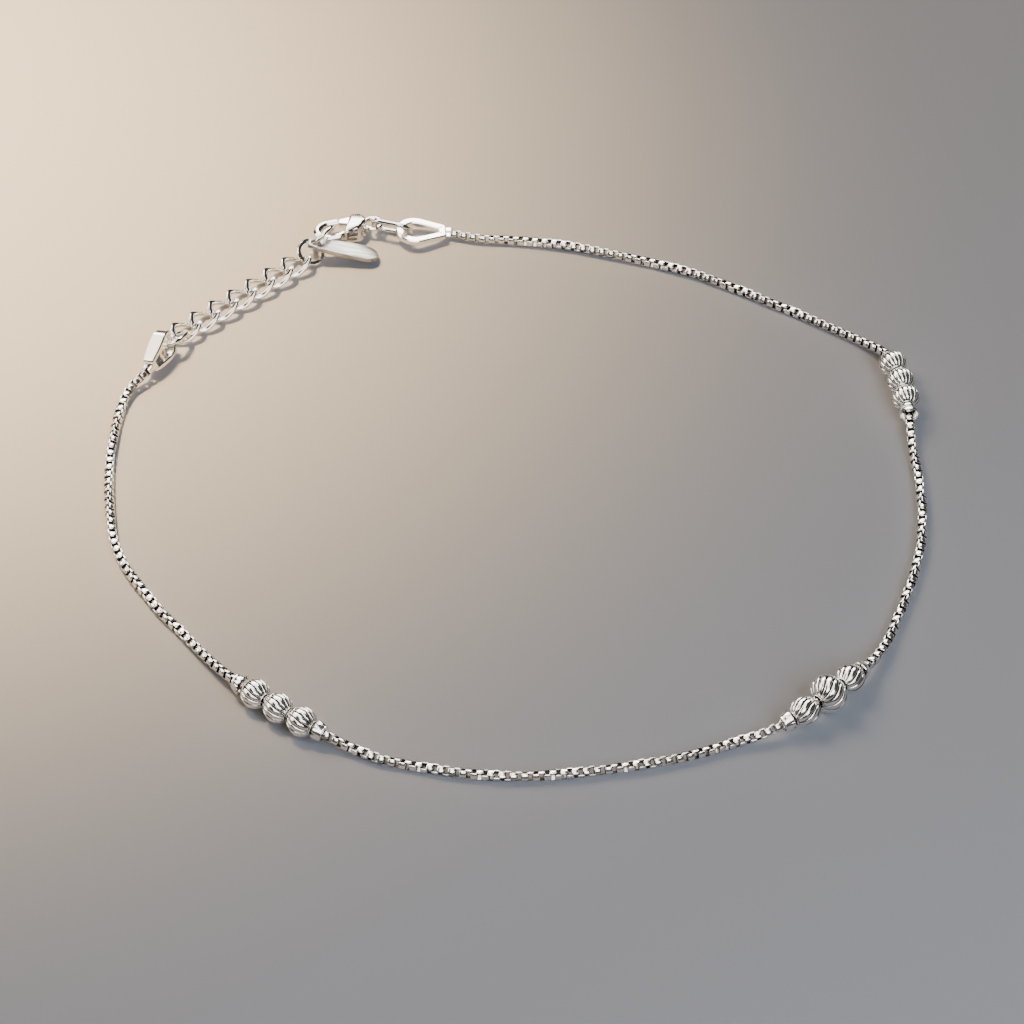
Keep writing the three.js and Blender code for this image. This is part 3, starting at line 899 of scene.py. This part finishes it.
def silver(name, color, roughness, change=0.08, marks_scale=3.0, bump=0.02, dark=None,
           grain=None, streaks=False):
    """A silver finish with fine marks, or with a brushed grain where one is given.

    A dark colour is painted shade in the grooves and hollows, or lies along the grain where
    streaks are asked for.
    """
    material = bpy.data.materials.new(name)
    material.use_nodes = True
    nodes, links = material.node_tree.nodes, material.node_tree.links
    shader = nodes["Principled BSDF"]
    shader.inputs["Metallic"].default_value = 1.0
    shader.inputs["Base Color"].default_value = (*color, 1)
    place = attribute(nodes, "own_place")
    marks = group_node(nodes, "marks")
    marks.inputs["Scale"].default_value = marks_scale
    marks.inputs["Roughness"].default_value = roughness
    marks.inputs["Change"].default_value = change
    links.new(place.outputs["Vector"], marks.inputs["Place"])
    links.new(marks.outputs["Roughness"], shader.inputs["Roughness"])
    height = marks.outputs["Height"]
    if grain:
        brushed = group_node(nodes, "grain")
        brushed.inputs["Across"].default_value = grain[0]
        brushed.inputs["Along"].default_value = grain[1]
        links.new(place.outputs["Vector"], brushed.inputs["Place"])
        height = brushed.outputs["Height"]
    if dark:
        darkening = group_node(nodes, "darkening")
        darkening.inputs["Main Color"].default_value = (*color, 1)
        darkening.inputs["Dark"].default_value = (*dark, 1)
        if streaks:
            darkening.inputs["Low"].default_value = STREAK_TONES[0]
            darkening.inputs["High"].default_value = STREAK_TONES[1]
            links.new(brushed.outputs["Tone"], darkening.inputs["Darkness"])
        else:
            links.new(attribute(nodes, "painted_shade").outputs["Fac"], darkening.inputs["Darkness"])
        links.new(darkening.outputs["Color"], shader.inputs["Base Color"])
    relief = nodes.new("ShaderNodeBump")
    relief.inputs["Strength"].default_value = bump
    relief.inputs["Distance"].default_value = RELIEF_DEPTH
    links.new(height, relief.inputs["Height"])
    links.new(relief.outputs["Normal"], shader.inputs["Normal"])
    return material


WIRE = silver("polished_wire", (0.93, 0.91, 0.88), 0.1)
# The box links' dark colour is painted shade inside the chain.
BOX = silver("box_link_silver", (0.96, 0.94, 0.91), 0.2, dark=(0.22, 0.195, 0.17))
# The beads' dark colour is painted shade in the grooves and at the lips, partly dark tarnish in
# the grooves.
CUT = silver("cut_bead_silver", (0.94, 0.92, 0.88), 0.15, dark=(0.05, 0.044, 0.038),
             grain=(16, 1.0), bump=0.22)
# The caps' dark colour is painted shade in the scallops' notches and inside the bell.
CAP = silver("cap_silver", (0.94, 0.92, 0.89), 0.18, dark=(0.2, 0.18, 0.16))
BAND = silver("connector_silver", (0.93, 0.91, 0.88), 0.16)
SATIN = silver("satin_tag_silver", (0.52, 0.495, 0.46), 0.34, dark=(0.24, 0.225, 0.205),
               grain=(5, 0.22), bump=0.03, streaks=True)
CLASP = silver("clasp_silver", (0.86, 0.84, 0.81), 0.17, dark=(0.55, 0.535, 0.51),
               grain=(8, 0.5), bump=0.04, streaks=True)


# Pieces


def piece(name, bm, matrix, material, body=BODY, smooth=35):
    """Makes the finished shape an object at the origin that stands for its solid."""
    own = bm.verts.layers.float_vector.get("own_place")
    if own is None:
        own = bm.verts.layers.float_vector.new("own_place")
        for vert in bm.verts:
            vert[own] = vert.co
    bmesh.ops.transform(bm, matrix=Matrix.Scale(MM, 4) @ matrix, verts=bm.verts)
    mesh = bpy.data.meshes.new(name + "_shape")
    bm.to_mesh(mesh)
    bm.free()
    mesh.shade_smooth()
    mesh.set_sharp_from_angle(angle=math.radians(smooth))
    mesh.materials.append(material)
    made = bpy.data.objects.new(name + "_shape", mesh)
    bpy.context.scene.collection.objects.link(made)
    weighted = made.modifiers.new("even_faces", "WEIGHTED_NORMAL")
    weighted.keep_sharp = True
    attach(made, body)
    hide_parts(name)
    return made


def build_chain():
    count = int((ROUTE.lengths[-1] - BOX_FIRST) / BOX_PITCH)
    middle = int((CHAIN_SPLIT - BOX_FIRST) / BOX_PITCH)
    still = Matrix.Identity(4)
    piece("box_chain_front", chain_links(0, middle), still, BOX, smooth=50)
    piece("box_chain_back", chain_links(middle, count + 2), still, BOX,
          smooth=50)


def build_beads():
    for start, rows in CLUSTERS:
        reached = start
        for name, kind, facing in rows:
            shape = SHAPES[kind]
            place, way = ROUTE.at(reached + shape["length"] / 2)
            matrix = aimed(way * facing, UP, place)
            if "flutes" in shape:
                piece(name, fluted_bead(shape), matrix, CUT, smooth=60)
            else:
                piece(name, end_cap(shape), matrix, CAP)
            reached += shape["length"] + PIECE_GAP


def build_links():
    heading = math.radians(CURB_HEADING)
    along = Vector((math.cos(heading), math.sin(heading), 0))
    for i in range(CURB_COUNT):
        at = Vector(CURB_START) + along * CURB_PITCH * i
        piece(f"extender_link_{i + 2}", wire_link(CURB, CURB_TWIST), aimed(along, UP, at), WIRE)
    for name, size, at, (x, y, z) in RINGS:
        turn = rotation(z, "Z") @ rotation(x, "X") @ rotation(y, "Y")
        piece(name, wire_link(size), Matrix.Translation(at) @ turn, WIRE)


def build_connectors():
    for row in CONNECTORS:
        turn = rotation(row["heading"], "Z") @ rotation(-row["pitch"], "Y")
        turn = turn @ rotation(row["roll"], "X")
        piece(row["name"], connector(row), Matrix.Translation(row["at"]) @ turn, BAND)


def build_clasp():
    matrix = Matrix.Translation(CLASP_AT) @ rotation(CLASP_HEADING, "Z")
    piece("clasp_body", clasp_body_shape(), matrix, CLASP)
    piece("clasp_lever", lever_shape(), matrix, WIRE, body=LEVER_BODY)
    hole, end = Vector(TAG_HOLE_AT), Vector(TAG_END_AT)
    piece("tag", tag_shape(), aimed(end - hole, UP, hole), SATIN)


# Stage


def build_camera():
    data = bpy.data.cameras.new("camera")
    data.lens = CAMERA_LENS
    data.sensor_width = CAMERA_SENSOR
    data.clip_start, data.clip_end = 0.01, 10
    camera = bpy.data.objects.new("camera", data)
    camera.location = Vector(CAMERA_AT) * MM
    camera.rotation_euler = (math.radians(CAMERA_TILT), 0, 0)
    bpy.context.scene.collection.objects.link(camera)
    bpy.context.scene.camera = camera


# Lights: place in metres, size, power and colour, and whether they light the surface and
# whether the silver mirrors them. The cards are only mirrored.
LIGHTS = [
    ("key_softbox", (-0.22, 0.17, 0.32), (0.24, 0.24), 0.7, (1.0, 0.84, 0.68), True, True),
    ("cool_fill", (0.15, -0.24, 0.20), (0.22, 0.22), 0.62, (0.66, 0.78, 1.0), True, False),
    ("back_card", (-0.05, 0.75, 0.66), (1.0, 0.46), 15.0, (1.0, 0.975, 0.94), False, True),
    ("top_card", (-0.1, 0.0, 0.9), (1.0, 0.40), 5.0, (1.0, 0.98, 0.95), False, True),
    ("front_card", (0.0, -0.75, 0.82), (1.0, 0.44), 8.5, (1.0, 0.98, 0.95), False, True),
    ("left_card", (-0.8, 0.1, 0.40), (0.5, 0.40), 4.0, (1.0, 0.93, 0.84), False, True),
]
POOL = {"at": (-0.15, 0.13, 0.35), "towards": (-0.09, 0.06, 0), "power": 25.0,
        "color": (1.0, 0.71, 0.38), "cone": 32, "softness": 0.04}
WORLD_COLOR = (0.80, 0.78, 0.76, 1)
WORLD_STRENGTH = 0.07
FLOOR_COLOR = (0.60, 0.585, 0.575, 1)


def add_light(data, at, towards):
    """Puts a light at its place, turned towards a point."""
    light = bpy.data.objects.new(data.name, data)
    light.location = at
    way = Vector(towards) - light.location
    light.rotation_euler = way.to_track_quat("-Z", "Y").to_euler()
    bpy.context.scene.collection.objects.link(light)
    return light


def area_light(name, at, size, power, color, lights_floor, mirrored):
    """A rectangular light that faces the middle of the loop."""
    data = bpy.data.lights.new(name, "AREA")
    data.shape = "RECTANGLE"
    data.size, data.size_y = size
    data.energy = power
    data.color = color
    light = add_light(data, at, (0, 0, 0))
    light.visible_diffuse = lights_floor
    light.visible_glossy = mirrored


def warm_pool():
    """A soft round pool of warm light that falls on the surface at the upper left."""
    data = bpy.data.lights.new("warm_pool", "SPOT")
    data.energy = POOL["power"]
    data.color = POOL["color"]
    data.spot_size = math.radians(POOL["cone"])
    data.spot_blend = 1.0
    data.shadow_soft_size = POOL["softness"]
    light = add_light(data, POOL["at"], POOL["towards"])
    light.visible_glossy = False


def build_lights():
    """Warm light from the upper left, cool light from the lower right, and a dim world."""
    warm_pool()
    for row in LIGHTS:
        area_light(*row)
    world = bpy.data.worlds.new("studio")
    world.use_nodes = True
    sky = world.node_tree.nodes["Background"]
    sky.inputs["Color"].default_value = WORLD_COLOR
    sky.inputs["Strength"].default_value = WORLD_STRENGTH
    bpy.context.scene.world = world
    world.cycles_visibility.diffuse = False


def build_floor():
    """A plain pale surface just under the anklet."""
    bm = bmesh.new()
    bmesh.ops.create_grid(bm, x_segments=1, y_segments=1, size=FLOOR_REACH)
    bmesh.ops.translate(bm, verts=bm.verts, vec=(0, 0, FLOOR_HEIGHT * MM))
    mesh = bpy.data.meshes.new("floor")
    bm.to_mesh(mesh)
    bm.free()
    material = bpy.data.materials.new("pale_surface")
    material.use_nodes = True
    shader = material.node_tree.nodes["Principled BSDF"]
    shader.inputs["Base Color"].default_value = FLOOR_COLOR
    shader.inputs["Roughness"].default_value = 0.75
    shader.inputs["Specular IOR Level"].default_value = 0.2
    mesh.materials.append(material)
    floor = bpy.data.objects.new("floor", mesh)
    bpy.context.scene.collection.objects.link(floor)


build_camera()
build_floor()
build_lights()
build_chain()
build_beads()
build_links()
build_connectors()
build_clasp()
